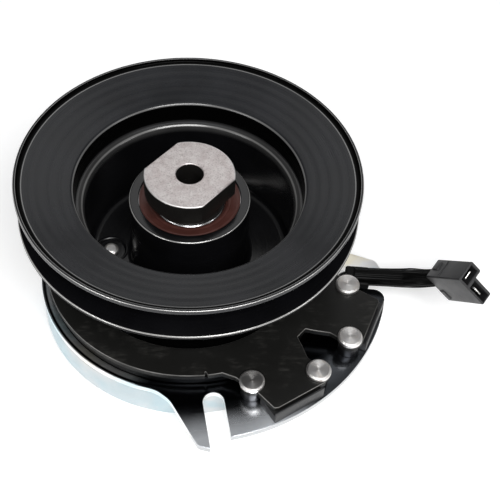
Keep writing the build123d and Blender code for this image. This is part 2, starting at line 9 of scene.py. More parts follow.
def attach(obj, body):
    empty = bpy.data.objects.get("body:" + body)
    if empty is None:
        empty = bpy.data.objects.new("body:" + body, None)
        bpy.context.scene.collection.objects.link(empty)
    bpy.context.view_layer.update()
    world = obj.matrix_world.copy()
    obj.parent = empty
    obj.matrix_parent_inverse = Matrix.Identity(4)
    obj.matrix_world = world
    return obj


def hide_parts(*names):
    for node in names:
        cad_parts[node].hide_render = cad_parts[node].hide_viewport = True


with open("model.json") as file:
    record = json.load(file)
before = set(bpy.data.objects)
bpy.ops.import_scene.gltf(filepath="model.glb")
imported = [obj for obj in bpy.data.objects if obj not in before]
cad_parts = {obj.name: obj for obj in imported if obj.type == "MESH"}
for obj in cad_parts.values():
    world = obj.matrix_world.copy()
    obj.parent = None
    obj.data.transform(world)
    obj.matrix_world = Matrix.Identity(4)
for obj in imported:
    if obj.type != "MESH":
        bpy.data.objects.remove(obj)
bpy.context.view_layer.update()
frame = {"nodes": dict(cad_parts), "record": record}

# Lengths are millimetres until MM turns them into the frame's metres, except that the camera and the
# lights are placed in metres. Angles are degrees.
MM = 0.001
scene = bpy.context.scene


# ---- sizes --------------------------------------------------------------------------------

PULLEY_R, PULLEY_TOP = 76.2, 87.4
RIM_IN_R = 74.9                     # inner edge of the upper rim's top
CONE_TOP_R, CONE_TOP_Z = 73.0, 85.75
CONE_FOOT_R, CONE_FOOT_Z = 52.6, 80.28
NECK_R, GROOVE_R = 50.8, 53.8
LOWER_RIM_Z0, LOWER_RIM_Z1 = 67.7, 69.9
SKIRT_R, SKIRT_Z = 56.2, 66.1       # the lower flange's neck on the cup
LEDGE_Z = 69.1
CUP_R, CUP_OUT_R = 46.9, 49.9
WEB_Z0, WEB_Z1 = 31.0, 34.0
SLEEVE_R, SLEEVE_TOP = 27.2, 70.6   # the sleeve round the pulley's bearing
LEAF_ANGLES, LEAF_WEB_R = (60.0, 180.0, 300.0), 37.2    # where the web rivets hold the leaf springs
DIMPLE_R, DIMPLE_Z = 7.2, 33.1      # recess round each web rivet

BEARING_OUT_R = 25.0
BEARING_Z0, BEARING_Z1 = 48.8, 69.4
SEAL_IN_R, SEAL_OUT_R = 16.15, 22.75

CAP_R, CAP_FLAT, CAP_BOSS_R = 20.15, 17.0, 15.0
CAP_Z0, CAP_Z1 = 75.6, 85.55
CAP_FACE_Z = 85.2                   # the cap's pale top face and its edge start here
BOLT_HOLE_R = 6.08

BRAKE_ANGLE = -41.75                # the brake plate's symmetry direction
BRAKE_RIVETS = ((67.6, 35.5), (86.2, 11.8))     # along and across that direction
BRAKE_IN_R, BRAKE_OUT_R = 53.0, 67.7
BRAKE_Z0, BRAKE_Z1 = 25.4, 28.6
BUMP_R = 5.2                        # the plate's outline round a rivet
RIVET_HEAD_R = 5.6

FIELD_R, FIELD_WALL_R = 71.0, 66.5
FIELD_TOP = 17.2                    # the mounting plate lies on it
PLATE_TOP, PLATE_ARC_R = 20.4, 95.0
SLOT_ROOT_R, SLOT_HALF = 76.5, 4.75
SLOT_ANGLE, LEAD_SLOT_ANGLE = -82.4, -6.0

LEAD_ROUTE = ((79.06, -8.31, 23.4), (100.7, -10.3, 24.0), (106.3, -12.2, 26.4), (112.0, -14.9, 29.4),
              (118.6, -15.8, 31.8))
LEAD_R = 4.5
CONNECTOR_LENGTH, CONNECTOR_WIDTH, CONNECTOR_HEIGHT, CONNECTOR_ARM = 25.4, 10.9, 18.1, 6.8
CONNECTOR_AZIMUTH, CONNECTOR_RISE, CONNECTOR_ROLL = -58.4, 43.6, 25.5


# ---- camera, light and floor --------------------------------------------------------------

def make_camera():
    """The view fitted to the photo."""
    data = bpy.data.cameras.new("camera")
    data.sensor_width = 36.0
    data.lens = 74.554
    data.clip_start, data.clip_end = 0.01, 20.0
    camera = bpy.data.objects.new("camera", data)
    right = Vector((0.99832, -0.03970, 0.04224))
    up = Vector((0.00348, 0.76843, 0.63992))
    back = right.cross(up)
    turn = Matrix((right, up, back)).transposed().to_4x4()
    camera.matrix_world = Matrix.Translation(Vector((0.0, -0.31562, 0.41244))) @ turn
    scene.collection.objects.link(camera)
    scene.camera = camera


def area_light(name, place, target, size, power, colour=(1.0, 1.0, 1.0)):
    data = bpy.data.lights.new(name, "AREA")
    data.shape = "RECTANGLE"
    data.size, data.size_y = size
    data.energy = power
    data.color = colour
    light = bpy.data.objects.new(name, data)
    light.location = place
    light.rotation_euler = (Vector(target) - Vector(place)).to_track_quat("-Z", "Y").to_euler()
    scene.collection.objects.link(light)


def make_light():
    """A softbox in front for rounded edges to mirror, and pale cards behind for flat faces."""
    centre = (0.02, 0.0, 0.04)
    area_light("softbox", (0.16, -0.88, 1.20), centre, (0.90, 0.50), 18.0)
    area_light("key_left", (-0.95, -0.85, 0.70), centre, (0.50, 0.25), 4.0)
    area_light("key_right", (1.10, -0.55, 0.60), centre, (0.30, 0.25), 1.6)
    area_light("overhead", (0.0, 0.05, 1.45), centre, (0.9, 0.35), 0.8, (0.86, 0.91, 1.0))
    area_light("back_card", (0.05, 0.92, 1.18), centre, (0.9, 0.7), 1.7)
    area_light("low_card", (0.0, 1.40, 0.52), centre, (1.2, 0.4), 0.95)
    world = bpy.data.worlds.new("studio")
    world.use_nodes = True
    background = world.node_tree.nodes["Background"]
    background.inputs["Color"].default_value = (1.0, 1.0, 1.0, 1.0)
    background.inputs["Strength"].default_value = 0.21
    scene.world = world
    scene.view_settings.view_transform = "Standard"


def make_floor():
    """A plain white floor that also glows a little, as the photo's background is evenly white."""
    work = bmesh.new()
    bmesh.ops.create_grid(work, x_segments=8, y_segments=8, size=3000.0)
    floor = finish_mesh("floor", work)
    paint = Paint("floor", (0.96, 0.96, 0.96), roughness=0.7, gloss=0.2)
    paint.set("Emission Color", (1.0, 1.0, 1.0, 1.0))
    paint.set("Emission Strength", 0.20)
    paint.rough(paint.ramp(paint.noise(30.0), 0.3, 0.7, 0.55, 0.7))
    floor.data.materials.append(paint.material)


# ---- materials ----------------------------------------------------------------------------

class Paint:
    """A node material on one Principled shader, with short calls for the nodes that it uses.
    Noise scales are per metre."""

    def __init__(self, name, colour, metallic=0.0, roughness=0.5, gloss=0.5):
        self.material = bpy.data.materials.new(name)
        self.material.use_nodes = True
        self.nodes = self.material.node_tree.nodes
        self.links = self.material.node_tree.links
        self.shader = self.nodes["Principled BSDF"]
        self.set("Base Color", (*colour, 1.0))
        self.set("Metallic", metallic)
        self.set("Roughness", roughness)
        self.set("Specular IOR Level", gloss)
        self.place = self.add("ShaderNodeTexCoord").outputs["Object"]

    def set(self, socket, value):
        self.shader.inputs[socket].default_value = value

    def add(self, kind, inputs=None, **settings):
        node = self.nodes.new(kind)
        for key, value in settings.items():
            setattr(node, key, value)
        for key, value in (inputs or {}).items():
            if isinstance(value, bpy.types.NodeSocket):
                self.links.new(value, node.inputs[key])
            else:
                node.inputs[key].default_value = value
        return node

    def math(self, operation, a, b=0.0, clamp=False):
        return self.add("ShaderNodeMath", {0: a, 1: b}, operation=operation, use_clamp=clamp).outputs[0]

    def plus(self, a, b):
        return self.math("ADD", a, b)

    def minus(self, a, b, clamp=False):
        return self.math("SUBTRACT", a, b, clamp)

    def times(self, a, b):
        return self.math("MULTIPLY", a, b)

    def larger(self, a, b):
        return self.math("MAXIMUM", a, b)

    def noise(self, scale, detail=3.0, roughness=0.5, vector=None, distortion=0.0):
        inputs = {"Vector": vector or self.place, "Scale": scale, "Detail": detail,
                  "Roughness": roughness, "Distortion": distortion}
        return self.add("ShaderNodeTexNoise", inputs).outputs["Fac"]

    def cells(self, scale):
        inputs = {"Vector": self.place, "Scale": scale}
        return self.add("ShaderNodeTexVoronoi", inputs).outputs["Distance"]

    def ramp(self, factor, low, high, start=0.0, end=1.0):
        """Maps factor from [low, high] to [start, end], clamped."""
        inputs = {"Value": factor, "From Min": low, "From Max": high, "To Min": start, "To Max": end}
        return self.add("ShaderNodeMapRange", inputs, clamp=True).outputs["Result"]

    def mix(self, factor, a, b):
        node = self.add("ShaderNodeMix", data_type="RGBA")
        for socket, value in ((node.inputs[0], factor), (node.inputs[6], a), (node.inputs[7], b)):
            if isinstance(value, bpy.types.NodeSocket):
                self.links.new(value, socket)
            else:
                socket.default_value = (*value, 1.0) if isinstance(value, tuple) else value
        return node.outputs[2]

    def stretch(self, x, y, z):
        return self.add("ShaderNodeMapping", {"Vector": self.place, "Scale": (x, y, z)}).outputs["Vector"]

    def parts(self):
        split = self.add("ShaderNodeSeparateXYZ", {"Vector": self.place})
        return split.outputs["X"], split.outputs["Y"], split.outputs["Z"]

    def radius(self, centre=(0.0, 0.0)):
        """Distance from an upright axis through centre, in millimetres."""
        x, y, _ = self.parts()
        dx, dy = self.minus(x, centre[0] * MM), self.minus(y, centre[1] * MM)
        return self.math("DIVIDE", self.length(dx, dy), MM)

    def length(self, a, b):
        return self.math("SQRT", self.plus(self.times(a, a), self.times(b, b)))

    def height(self):
        """Height above the frame's floor, in millimetres."""
        return self.math("DIVIDE", self.parts()[2], MM)

    def turned(self, radius):
        """A vector that changes only with radius and height, for marks that run round the axis."""
        _, _, z = self.parts()
        inputs = {"X": self.times(radius, MM), "Y": 0.0, "Z": z}
        return self.add("ShaderNodeCombineXYZ", inputs).outputs["Vector"]

    def rubbed_edge(self, low, high, strength):
        """A patchy mask for the rounded top edge between two heights in millimetres."""
        middle, reach = (low + high) / 2, (high - low) / 2
        away = self.math("ABSOLUTE", self.minus(self.height(), middle))
        band = self.ramp(away, reach * 0.6, reach, strength, 0.0)
        return self.times(band, self.ramp(self.noise(60.0, 3.0), 0.35, 0.60, 0.25, 1.0))

    def feed(self, socket, output):
        self.links.new(output, self.shader.inputs[socket])

    def colour(self, output):
        self.feed("Base Color", output)

    def rough(self, output):
        self.feed("Roughness", output)

    def bump(self, height, depth):
        """Adds relief of that depth in millimetres to whatever relief there is."""
        inputs = {"Height": height, "Distance": depth * MM, "Strength": 1.0}
        previous = self.shader.inputs["Normal"].links
        if previous:
            inputs["Normal"] = previous[0].from_socket
        self.links.new(self.add("ShaderNodeBump", inputs).outputs["Normal"], self.shader.inputs["Normal"])


def near_ring(paint, radius, height, reach, strength):
    """A mask round the circle at that radius and height, in millimetres."""
    away = paint.length(paint.minus(paint.radius(), radius), paint.minus(paint.height(), height))
    return paint.times(paint.ramp(away, reach * 0.55, reach, 1.0, 0.0), strength)


def outside_ring(paint, inner, outer):
    """One outside the band between two radii in millimetres, and nothing within it."""
    blur = 0.2
    inside = paint.ramp(paint.radius(), inner - blur, inner, 1.0, 0.0)
    return paint.plus(inside, paint.ramp(paint.radius(), outer, outer + blur))


def black_coat(name, colour, roughness, gloss, worn_and_highlight_rims, shaded_walls=()):
    """Dip-coated black over spun steel: faint rings, orange peel, dust, and pale bare steel in rings at the
    rims, real wear on some and painted highlight on others. Each ring is (radius, height, reach, strength).
    Each wall is (inner radius, outer radius), painted black and dull as painted shade. All are in
    millimetres."""
    dust_grey, bare_steel = (0.10, 0.10, 0.105), (0.82, 0.81, 0.79)
    # Black and gloss for walls painted dark and dull as painted shade.
    shade_black, shade_gloss = (0.001, 0.001, 0.001), 0.03
    paint = Paint(name, colour, roughness=roughness, gloss=gloss)
    rings = paint.noise(900.0, 2.0, vector=paint.turned(paint.radius()))
    cloud = paint.noise(55.0, 4.0)
    dust = paint.ramp(paint.noise(2600.0, 2.0, 0.7), 0.70, 0.78, 0.0, 0.35)
    coat = paint.mix(paint.ramp(cloud, 0.35, 0.65), colour, tuple(1.45 * c for c in colour))
    coat = paint.mix(dust, coat, dust_grey)

    # Pale bare steel in rings: real wear on the rims, painted highlight on the other rings.
    worn = near_ring(paint, *worn_and_highlight_rims[0])
    for rim in worn_and_highlight_rims[1:]:
        worn = paint.larger(worn, near_ring(paint, *rim))
    worn = paint.times(worn, paint.ramp(paint.noise(30.0, 3.0), 0.38, 0.60, 0.65, 1.0))
    coat = paint.mix(worn, coat, bare_steel)
    paint.feed("Metallic", worn)

    # Walls painted black and dull: painted shade.
    if shaded_walls:
        clear = outside_ring(paint, *shaded_walls[0])
        for wall in shaded_walls[1:]:
            clear = paint.times(clear, outside_ring(paint, *wall))
        coat = paint.mix(clear, shade_black, coat)
        paint.feed("Specular IOR Level", paint.ramp(clear, 0.0, 1.0, shade_gloss, gloss))
    paint.colour(coat)

    uneven = paint.plus(paint.times(rings, 0.16), paint.times(cloud, 0.14))
    paint.rough(paint.plus(uneven, roughness - 0.15))
    paint.bump(rings, 0.018)
    paint.bump(paint.noise(700.0, 2.0), 0.012)
    return paint.material


def black_oxide():
    """Thin dark oxide on a stamped plate: paler where it is scratched and along its rubbed top edge."""
    dark, scratched, bare_steel = (0.0085, 0.0084, 0.0078), (0.030, 0.029, 0.027), (0.50, 0.49, 0.47)
    paint = Paint("brake_black", dark, roughness=0.40, gloss=0.22)
    cloud = paint.noise(90.0, 5.0, 0.6)
    scratch = paint.noise(420.0, 3.0, 0.7, vector=paint.stretch(0.25, 1.6, 1.0))
    worn = paint.times(paint.ramp(cloud, 0.50, 0.68), paint.ramp(scratch, 0.45, 0.6))
    edge = paint.rubbed_edge(BRAKE_Z1 - 0.42, BRAKE_Z1 - 0.05, 0.40)
    paint.colour(paint.mix(edge, paint.mix(worn, dark, scratched), bare_steel))
    paint.feed("Metallic", edge)
    paint.rough(paint.plus(paint.times(cloud, 0.30), 0.25))
    paint.bump(paint.noise(1500.0, 3.0, 0.7), 0.02)
    paint.bump(scratch, 0.008)
    return paint.material


def drifting_tints(paint, cool, pale, straw, straw_band):
    """Zinc's iridescence: slow patches of three tints. The last sets in over a band of the noise."""
    drift = paint.noise(24.0, 3.0, 0.55, distortion=0.8)
    tint = paint.mix(paint.ramp(drift, 0.38, 0.52), cool, pale)
    return paint.mix(paint.ramp(drift, *straw_band), tint, straw)


def scuffs(paint):
    """Fine marks, long in one direction."""
    return paint.noise(900.0, 2.0, 0.6, vector=paint.stretch(0.12, 1.0, 1.0))


def zinc():
    """Clear zinc: near white, with drifting blue and straw tints, soft clouds and a few rubbed marks."""
    cool, pale, straw = (0.49, 0.60, 0.64), (0.62, 0.64, 0.65), (0.70, 0.63, 0.52)
    bloomed = (0.70, 0.71, 0.72)
    paint = Paint("zinc", pale, metallic=1.0, roughness=0.38)
    tint = drifting_tints(paint, cool, pale, straw, (0.55, 0.68))
    bloom = paint.ramp(paint.noise(600.0, 4.0, 0.7), 0.55, 0.75, 0.0, 0.4)
    paint.colour(paint.mix(bloom, tint, bloomed))
    cloud = paint.noise(150.0, 5.0, 0.65)
    rubbed = paint.ramp(scuffs(paint), 0.62, 0.72, 0.0, 0.12)
    paint.rough(paint.plus(paint.ramp(cloud, 0.35, 0.65, 0.30, 0.44), rubbed))
    paint.bump(cloud, 0.012)
    paint.bump(paint.noise(1500.0, 2.0), 0.003)
    return paint.material


def plate_zinc():
    """The mounting plate's zinc: steel-blue, with painted shade and dark reflection under the brake and
    towards its left and right, a painted shadow line inside the shell's rim, and outer walls greyed as
    painted shade;
    pale on edges, ring and rear horn.
    """
    # The first colour is painted shade and dark reflection; the third greys the outer walls as painted
    # shade.
    dark_tone, blue, wall_shade_grey = (0.055, 0.060, 0.068), (0.84, 0.87, 0.91), (0.60, 0.61, 0.62)
    cool, pale_grey, straw = (0.70, 0.84, 0.89), (0.92, 0.92, 0.92), (0.95, 0.90, 0.76)
    # Black for a painted shadow line.
    shadow_line_black = (0.004, 0.004, 0.004)
    paint = Paint("plate_zinc", blue, metallic=1.0, roughness=0.2)
    x, y, _ = paint.parts()
    radius = paint.radius()
    wander = paint.times(paint.minus(paint.noise(45.0, 3.0), 0.5), 9.0)
    uneven_radius = paint.plus(radius, wander)
    # Painted dark reflection towards the plate's right side.
    dark_reflection_right = paint.ramp(x, 34 * MM, 58 * MM, 0.0, 0.97)
    # Painted shade and dark reflection near the brake, paler outward.
    face = paint.mix(paint.ramp(uneven_radius, 78.0, 87.5), dark_tone, blue)
    face = paint.mix(dark_reflection_right, face, dark_tone)

    brake_x, brake_y = at(1.0, BRAKE_ANGLE)
    toward_brake = paint.plus(paint.times(x, brake_x), paint.times(y, brake_y))
    ring = paint.ramp(toward_brake, 22 * MM, 30 * MM, 1.0, 0.0)
    rear_horn = paint.ramp(y, -8 * MM, -4 * MM)
    walls = paint.ramp(paint.height(), PLATE_TOP - 0.3, PLATE_TOP - 0.1, 1.0, 0.0)
    pale = paint.larger(paint.larger(ring, rear_horn), walls)

    tint = drifting_tints(paint, cool, pale_grey, straw, (0.54, 0.66))
    # Painted dark reflection towards the plate's left side.
    dark_reflection_left = paint.ramp(x, -68.5 * MM, -60 * MM, 0.9, 0.0)
    tint = paint.mix(paint.times(dark_reflection_left, paint.minus(1.0, walls)), tint, dark_tone)
    # A painted shadow line on the top face just inside the shell's outer rim.
    off_shadow_line = paint.math("ABSOLUTE", paint.minus(radius, FIELD_R - 1.2))
    shadow_line = paint.minus(paint.ramp(off_shadow_line, 0.4, 0.9, 1.0, 0.0), walls, clamp=True)
    tint = paint.mix(shadow_line, tint, shadow_line_black)
    # The outer side walls greyed as painted shade.
    outer_wall_shade = paint.times(walls, paint.ramp(radius, PLATE_ARC_R - 5.0, PLATE_ARC_R - 2.0))
    tint = paint.mix(outer_wall_shade, tint, wall_shade_grey)
    paint.colour(paint.mix(pale, face, tint))

    bright_metal = paint.ramp(uneven_radius, 82.0, 94.0, 1.0, 0.62)
    paint.feed("Metallic", paint.larger(paint.larger(bright_metal, pale), dark_reflection_right))
    marks = paint.ramp(scuffs(paint), 0.5, 0.75, 0.0, 0.08)
    paint.rough(paint.plus(marks, paint.ramp(pale, 0.0, 1.0, 0.19, 0.34)))
    paint.bump(paint.noise(300.0, 3.0, 0.6), 0.004)
    return paint.material


def turned_steel(name, centres):
    """Lathe-faced steel: fine rings round each of the upright axes in centres. The first head is darker in
    its middle.
    """
    steel, stained, dark_tone = (0.93, 0.91, 0.89), (0.85 * 0.93, 0.78 * 0.91, 0.72 * 0.89), (0.10, 0.10, 0.10)
    roughness, pitch, wobble = 0.36, 0.36, 0.12
    paint = Paint(name, steel, metallic=1.0, roughness=roughness)
    nearest = paint.radius(centres[0])
    for centre in centres[1:]:
        nearest = paint.math("MINIMUM", nearest, paint.radius(centre))
    wobbly = paint.plus(nearest, paint.times(paint.noise(150.0, 2.0), wobble))
    rings = paint.math("SINE", paint.times(wobbly, 2 * math.pi / pitch))
    stain = paint.noise(260.0, 4.0, 0.6)
    clean = paint.mix(paint.ramp(stain, 0.48, 0.72, 0.0, 0.6), steel, stained)
    # The first head is made darker in its middle.
    darkened = paint.ramp(paint.radius(centres[0]), RIVET_HEAD_R - 1.3, RIVET_HEAD_R - 0.5, 0.62, 0.0)
    paint.colour(paint.mix(darkened, clean, dark_tone))
    paint.rough(paint.ramp(stain, 0.3, 0.7, roughness - 0.03, roughness + 0.10))
    paint.bump(rings, 0.026)
    paint.bump(paint.noise(900.0, 2.0), 0.003)
    return paint.material


def sintered_steel():
    """Pressed and sintered steel: an open-grained, pinkish top face, and sides much darker than it."""
    base, pore, pale = (0.63, 0.565, 0.555), (0.27, 0.235, 0.225), (0.80, 0.755, 0.74)
    bright_rim, darkened = (0.93, 0.91, 0.90), (0.050, 0.047, 0.044)
    paint = Paint("sintered_steel", base, metallic=0.9, roughness=0.42)
    grains = paint.noise(1500.0, 3.0, 0.8)
    cloud = paint.noise(260.0, 4.0, 0.7)
    tint = paint.mix(paint.ramp(cloud, 0.38, 0.64), base, pale)
    face = paint.mix(paint.ramp(grains, 0.52, 0.66, 0.0, 0.55), tint, pore)
    rim = paint.ramp(paint.radius(), CAP_R - 0.75, CAP_R - 0.45, 0.0, 0.8)
    face = paint.mix(rim, face, bright_rim)
    top = paint.ramp(paint.height(), CAP_FACE_Z - 0.3, CAP_FACE_Z)
    paint.colour(paint.mix(top, darkened, face))
    paint.rough(paint.ramp(paint.plus(grains, paint.times(cloud, 0.5)), 0.5, 1.0, 0.34, 0.56))
    paint.bump(grains, 0.02)
    return paint.material


def ground_steel(name, colour, roughness):
    """Ground or rolled steel with marks that run round the axis and a thin oil film."""
    streak = 0.18
    paint = Paint(name, colour, metallic=1.0, roughness=roughness)
    marks = paint.noise(2200.0, 3.0, 0.6, vector=paint.turned(paint.radius()))
    film = paint.noise(120.0, 4.0, 0.6)
    paint.colour(paint.mix(paint.ramp(film, 0.45, 0.7), colour, tuple(0.62 * c for c in colour)))
    paint.rough(paint.plus(paint.times(marks, streak), roughness - streak / 2))
    paint.bump(marks, 0.006)
    return paint.material


def moulded(name, colour, roughness, grain=0.02, scale=1400.0, gloss=0.5):
    """Moulded plastic, rubber, resin or ferrite: a fine matt texture and uneven sheen."""
    paint = Paint(name, colour, roughness=roughness, gloss=gloss)
    cloud = paint.noise(130.0, 4.0, 0.6)
    speck = paint.ramp(paint.noise(2800.0, 2.0, 0.7), 0.66, 0.78, 0.0, 0.4)
    tint = paint.mix(paint.ramp(cloud, 0.3, 0.7), colour, tuple(1.5 * c for c in colour))
    paint.colour(paint.mix(speck, tint, tuple(3.0 * c + 0.01 for c in colour)))
    paint.rough(paint.ramp(cloud, 0.3, 0.7, roughness - 0.08, roughness + 0.10))
    paint.bump(paint.noise(scale, 3.0, 0.6), grain)
    return paint.material


def wound_copper():
    """Layers of enamelled wire, seen as close rings, painted dark in the groove between turns and bright on
    each crown: painted shade and highlight.
    """
    dark, lit_copper = (0.30, 0.09, 0.03), (0.75, 0.32, 0.14)
    paint = Paint("copper", lit_copper, metallic=1.0, roughness=0.3)
    wire_pitch = 0.6
    turns = paint.math("SINE", paint.times(paint.radius(), 2 * math.pi / wire_pitch))
    # Painted shade between the turns and painted highlight on them.
    paint.colour(paint.mix(paint.ramp(turns, -0.6, 0.6), dark, lit_copper))
    paint.rough(paint.ramp(paint.noise(300.0), 0.3, 0.7, 0.24, 0.42))
    paint.bump(turns, 0.08)
    return paint.material


def friction_material():
    """Moulded friction lining with brass and mineral flecks."""
    brass, resin, mineral = (0.45, 0.33, 0.16), (0.13, 0.105, 0.085), (0.06, 0.055, 0.05)
    paint = Paint("lining", resin, roughness=0.8)
    tint = paint.mix(paint.ramp(paint.cells(1500.0), 0.0, 0.25), brass, resin)
    paint.colour(paint.mix(paint.ramp(paint.noise(700.0, 4.0), 0.5, 0.7), tint, mineral))
    paint.rough(paint.ramp(paint.noise(900.0), 0.3, 0.7, 0.62, 0.9))
    paint.bump(paint.noise(1600.0, 4.0, 0.7), 0.06)
    return paint.material


# ---- mesh making --------------------------------------------------------------------------

SMOOTH_BELOW = 35.0                 # faces that meet at a smaller angle are shaded as one
SAME_POINT = 0.0004                 # nearer vertices are merged
TINY = 1e-6


def at(radius, angle):
    """The plan point at a radius and an angle round the part's axis."""
    return radius * math.cos(math.radians(angle)), radius * math.sin(math.radians(angle))


def arc(centre, radius, start, end, steps):
    """Points along an arc, both ends included."""
    turns = [math.radians(start + (end - start) * i / steps) for i in range(steps + 1)]
    return [(centre[0] + radius * math.cos(t), centre[1] + radius * math.sin(t)) for t in turns]


def plain(points):
    """Points as corners that rounded() leaves sharp."""
    return [(x, y, 0.0) for x, y in points]


def rounded(outline, steps=5):
    """A closed outline of (x, y, corner radius) as points, each corner turned into an arc."""
    points = []
    count = len(outline)
    for i, (x, y, radius) in enumerate(outline):
        corner = Vector((x, y))
        before = Vector(outline[i - 1][:2]) - corner
        after = Vector(outline[(i + 1) % count][:2]) - corner
        touching = min(before.length, after.length) < TINY
        half = math.radians(90) if touching else before.angle(after) / 2
        if radius <= 0 or half > math.radians(89):
            points.append((x, y))
            continue
        reach = min(radius / math.tan(half), 0.49 * before.length, 0.49 * after.length)
        start = corner + before.normalized() * reach
        end = corner + after.normalized() * reach
        middle = (before.normalized() + after.normalized()).normalized()
        arc_radius = reach * math.tan(half)
        centre = corner + middle * (arc_radius / math.sin(half))
        spoke, far_spoke = start - centre, end - centre
        sweep = spoke.angle_signed(far_spoke)
        for k in range(steps + 1):
            turn = Matrix.Rotation(-sweep * k / steps, 2)
            points.append(tuple(centre + turn @ spoke))
    return points


def finish_mesh(name, work, sharp=SMOOTH_BELOW):
    """Turns a bmesh in millimetres into a linked object in metres, smooth but for its sharp edges."""
    bmesh.ops.remove_doubles(work, verts=work.verts, dist=SAME_POINT)
    bmesh.ops.recalc_face_normals(work, faces=work.faces)
    mesh = bpy.data.meshes.new(name)
    work.to_mesh(mesh)
    work.free()
    mesh.transform(Matrix.Scale(MM, 4))
    mesh.shade_smooth()
    mesh.set_sharp_from_angle(angle=math.radians(sharp))
    piece = bpy.data.objects.new(name, mesh)
    scene.collection.objects.link(piece)
    return piece


def spin(work, outline, segments, place):
    """Adds the solid that a (radius, height) outline sweeps about an upright axis at place.
    An outline that starts and ends on the axis makes a plain solid; any other makes a ring."""
    rings = []
    for radius, z in outline:
        if radius < TINY:
            rings.append([work.verts.new((place[0], place[1], z))])
            continue
        turns = [2 * math.pi * i / segments for i in range(segments)]
        ring = [(place[0] + radius * math.cos(t), place[1] + radius * math.sin(t), z) for t in turns]
        rings.append([work.verts.new(point) for point in ring])
    closed = len(rings[0]) > 1
    pairs = list(zip(rings, rings[1:])) + ([(rings[-1], rings[0])] if closed else [])
    for low, high in pairs:
        for i in range(segments):
            j = (i + 1) % segments
            corners = [low[i % len(low)], low[j % len(low)], high[j % len(high)], high[i % len(high)]]
            unique = list(dict.fromkeys(corners))
            if len(unique) > 2:
                work.faces.new(unique)


def lathe(name, outline, segments=256, places=((0.0, 0.0),)):
    """One object of turned solids, each about its own axis. Corners are (radius, height, round)."""
    work = bmesh.new()
    if outline[0][0] < TINY:
        inner = [(-1.0, outline[0][1], 0.0), *outline, (-1.0, outline[-1][1], 0.0)]
        points = [p for p in rounded(inner) if p[0] >= -TINY]
    else:
        points = rounded(outline)
    for place in places:
        spin(work, points, segments, place)
    return finish_mesh(name, work)


def evaluated_mesh(piece):
    """A new mesh of an object as its curve or modifier makes it."""
    bpy.context.view_layer.update()
    return bpy.data.meshes.new_from_object(piece.evaluated_get(bpy.context.evaluated_depsgraph_get()))


def plate(name, loops, z0, z1, edge, steps=3):
    """A flat plate: the first loop is its outline and the others are holes. Its edges are rounded."""
    curve = bpy.data.curves.new(name, "CURVE")
    curve.dimensions = "2D"
    curve.fill_mode = "BOTH"
    curve.extrude = (z1 - z0) / 2 - edge
    curve.bevel_depth = edge
    curve.bevel_resolution = steps
    curve.offset = -edge
    for loop in loops:
        spline = curve.splines.new("POLY")
        spline.points.add(len(loop) - 1)
        for point, (x, y) in zip(spline.points, loop):
            point.co = (x, y, 0.0, 1.0)
        spline.use_cyclic_u = True
    shape = bpy.data.objects.new(name + "_outline", curve)
    scene.collection.objects.link(shape)
    mesh = evaluated_mesh(shape)
    bpy.data.objects.remove(shape)
    work = bmesh.new()
    work.from_mesh(mesh)
    bpy.data.meshes.remove(mesh)
    bmesh.ops.translate(work, verts=work.verts, vec=(0, 0, (z0 + z1) / 2))
    return finish_mesh(name, work, 40.0)


def circle(radius, centre=(0.0, 0.0), count=64):
    """Points all the way round, the first not repeated."""
    return arc(centre, radius, 0.0, 360.0 * (count - 1) / count, count - 1)


def block(work, size, place, edge, segments):
    """Adds a box of that size, its edges rounded, set in place by a matrix."""
    made = bmesh.ops.create_cube(work, size=1.0)["verts"]
    bmesh.ops.scale(work, verts=made, vec=size)
    edges = list({e for v in made for e in v.link_edges})
    rounding = {"offset": edge, "segments": segments, "profile": 0.5, "affect": "EDGES"}
    rounded_box = bmesh.ops.bevel(work, geom=edges, **rounding)
    verts = list({v for v in made if v.is_valid} | set(rounded_box["verts"]))
    bmesh.ops.transform(work, matrix=place, verts=verts)


def bar(name, outline, z0, z1, edge):
    """A prism over a plan outline, all its edges rounded."""
    work = bmesh.new()
    low = [work.verts.new((x, y, z0)) for x, y in outline]
    face = work.faces.new(low)
    made = bmesh.ops.extrude_face_region(work, geom=[face])["geom"]
    top = [v for v in made if isinstance(v, bmesh.types.BMVert)]
    bmesh.ops.translate(work, verts=top, vec=(0, 0, z1 - z0))
    bmesh.ops.recalc_face_normals(work, faces=work.faces)
    bmesh.ops.bevel(work, geom=list(work.edges), offset=edge, segments=3, profile=0.5, affect="EDGES")
    return finish_mesh(name, work)


def put(piece, matrix):
    """Moves a piece's mesh by a matrix whose places are millimetres."""
    place = matrix.copy()
    place.translation = place.translation * MM
    piece.data.transform(place)
    piece.data.update()
    return piece


def combine(piece, other, operation):
    """Joins other's solid to piece or takes it out, and removes other."""
    modifier = piece.modifiers.new("combine", "BOOLEAN")
    modifier.operation, modifier.solver, modifier.object = operation, "EXACT", other
    mesh = evaluated_mesh(piece)
    piece.modifiers.clear()
    piece.data = mesh
    mesh.name = piece.name
    mesh.set_sharp_from_angle(angle=math.radians(SMOOTH_BELOW))
    bpy.data.objects.remove(other)
    return piece


def join(name, pieces):
    """One object out of several."""
    work = bmesh.new()
    for piece in pieces:
        work.from_mesh(piece.data)
        bpy.data.objects.remove(piece)
    bmesh.ops.scale(work, verts=work.verts, vec=(1 / MM,) * 3)
    return finish_mesh(name, work)


def settle(piece, slot, *nodes, body=None, finish=None):
    """Gives a piece its material, stands it in for CAD nodes, and sets it on their body."""
    piece.data.materials.clear()
    piece.data.materials.append(MATERIALS[finish or slot])
    if nodes:
        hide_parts(*nodes)
    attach(piece, body or body_of(nodes[0]))


def body_of(node):
    """The body in the record that a CAD node belongs to."""
    groups = frame["record"]["behaviour"]["bodies"]
    return next(body for body, members in groups.items() if node in members)


# ---- pulley -------------------------------------------------------------------------------

